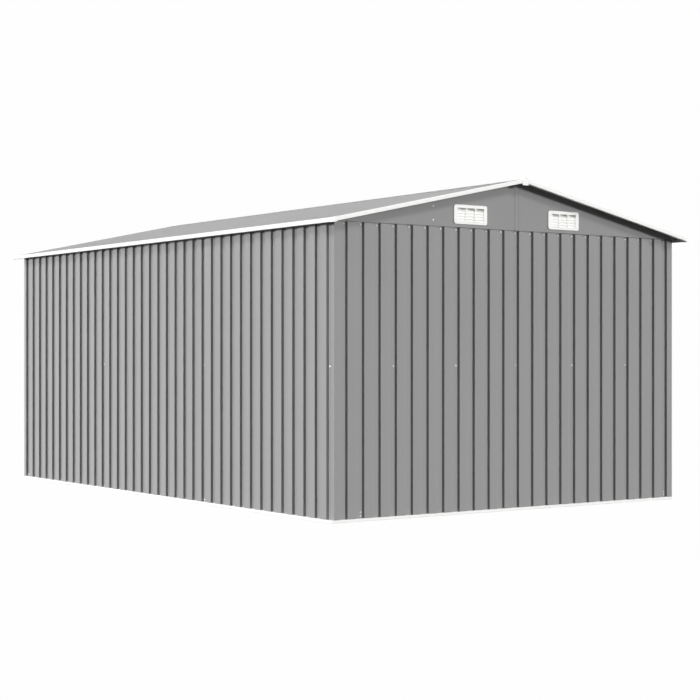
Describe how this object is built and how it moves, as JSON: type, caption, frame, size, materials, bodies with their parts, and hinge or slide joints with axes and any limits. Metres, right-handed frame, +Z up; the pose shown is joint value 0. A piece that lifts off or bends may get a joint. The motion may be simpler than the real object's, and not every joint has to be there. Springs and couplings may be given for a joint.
{
  "type": "metal storage shed",
  "caption": "Apex garden storage shed of grey ribbed steel sheet on a white base rail, with flat gable panels, louvred vents and white roof trims.",
  "frame": {"origin": "on the ground at the middle of the roof's plan", "axes": "+X across the gables, +Y along the side walls from the plain gable to the door gable, +Z up"},
  "size_m": [2.5504, 3.9284, 1.8241],
  "materials": {
    "grey_wall_sheet": "smooth polyester coating on folded steel, low sheen",
    "grey_gable_sheet": "smooth polyester coating on flat steel, low sheen",
    "grey_roof_sheet": "smooth polyester coating on folded steel, low sheen",
    "white_trim": "white polyester coating, satin",
    "white_plastic": "moulded white plastic, satin",
    "zinc_steel": "hot-dip galvanised, dull spangle"
  },
  "bodies": {
    "root": {"base_rail_front": "white_trim", "base_rail_back": "white_trim", "base_rail_left": "white_trim", "base_rail_right": "white_trim", "corner_panel_front_left": "grey_wall_sheet", "corner_panel_front_right": "grey_wall_sheet", "corner_panel_back_left": "grey_wall_sheet", "corner_panel_back_right": "grey_wall_sheet", "left_wall_sheet_1": "grey_wall_sheet", "left_wall_sheet_2": "grey_wall_sheet", "left_wall_sheet_3": "grey_wall_sheet", "right_wall_sheet_1": "grey_wall_sheet", "right_wall_sheet_2": "grey_wall_sheet", "right_wall_sheet_3": "grey_wall_sheet", "front_wall_sheet_left": "grey_wall_sheet", "front_wall_sheet_right": "grey_wall_sheet", "back_wall_sheet_left": "grey_wall_sheet", "back_wall_sheet_right": "grey_wall_sheet", "door_frame": "white_trim", "door_leaf_left": "grey_wall_sheet", "door_leaf_right": "grey_wall_sheet", "gable_panel_front_left": "grey_gable_sheet", "gable_panel_front_right": "grey_gable_sheet", "gable_panel_back_left": "grey_gable_sheet", "gable_panel_back_right": "grey_gable_sheet", "front_vents": "white_plastic", "back_vents": "white_plastic", "eave_rails": "zinc_steel", "gable_rails": "zinc_steel", "purlins": "zinc_steel", "ridge_beam": "zinc_steel", "roof_sheet_left_1": "grey_roof_sheet", "roof_sheet_left_2": "grey_roof_sheet", "roof_sheet_left_3": "grey_roof_sheet", "roof_sheet_right_1": "grey_roof_sheet", "roof_sheet_right_2": "grey_roof_sheet", "roof_sheet_right_3": "grey_roof_sheet", "ridge_cap": "grey_roof_sheet", "eave_trim_left": "white_trim", "eave_trim_right": "white_trim", "rake_trim_front_left": "white_trim", "rake_trim_front_right": "white_trim", "rake_trim_back_left": "white_trim", "rake_trim_back_right": "white_trim", "trim_caps": "white_plastic"}
  },
  "joints": []
}
